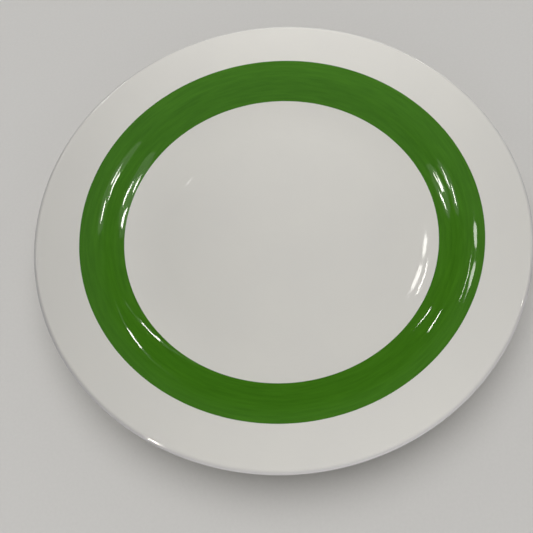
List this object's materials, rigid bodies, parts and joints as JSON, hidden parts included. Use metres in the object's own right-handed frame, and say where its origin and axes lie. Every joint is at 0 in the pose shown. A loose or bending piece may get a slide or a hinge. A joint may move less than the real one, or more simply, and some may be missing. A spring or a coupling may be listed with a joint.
{
  "type": "dinner plate",
  "caption": "Round dinner plate with a flat well, a coved side, a gently sloping rim, a wide green band over the shoulder and a low foot ring underneath.",
  "frame": {"origin": "centre of the circle that the foot ring stands on, in the plane of the table", "axes": "+Z is the plate's axis of revolution and points up out of the well; X and Y lie in the table's plane and are alike"},
  "size_m": [0.2682, 0.2682, 0.0255],
  "materials": {
    "fired_clay": "matte",
    "white_glaze": "polished",
    "green_glaze_colour": "polished"
  },
  "bodies": {
    "root": {"fired_body": "fired_clay", "white_glaze": "white_glaze", "foot_recess_glaze": "white_glaze", "green_band": "green_glaze_colour"}
  },
  "joints": []
}
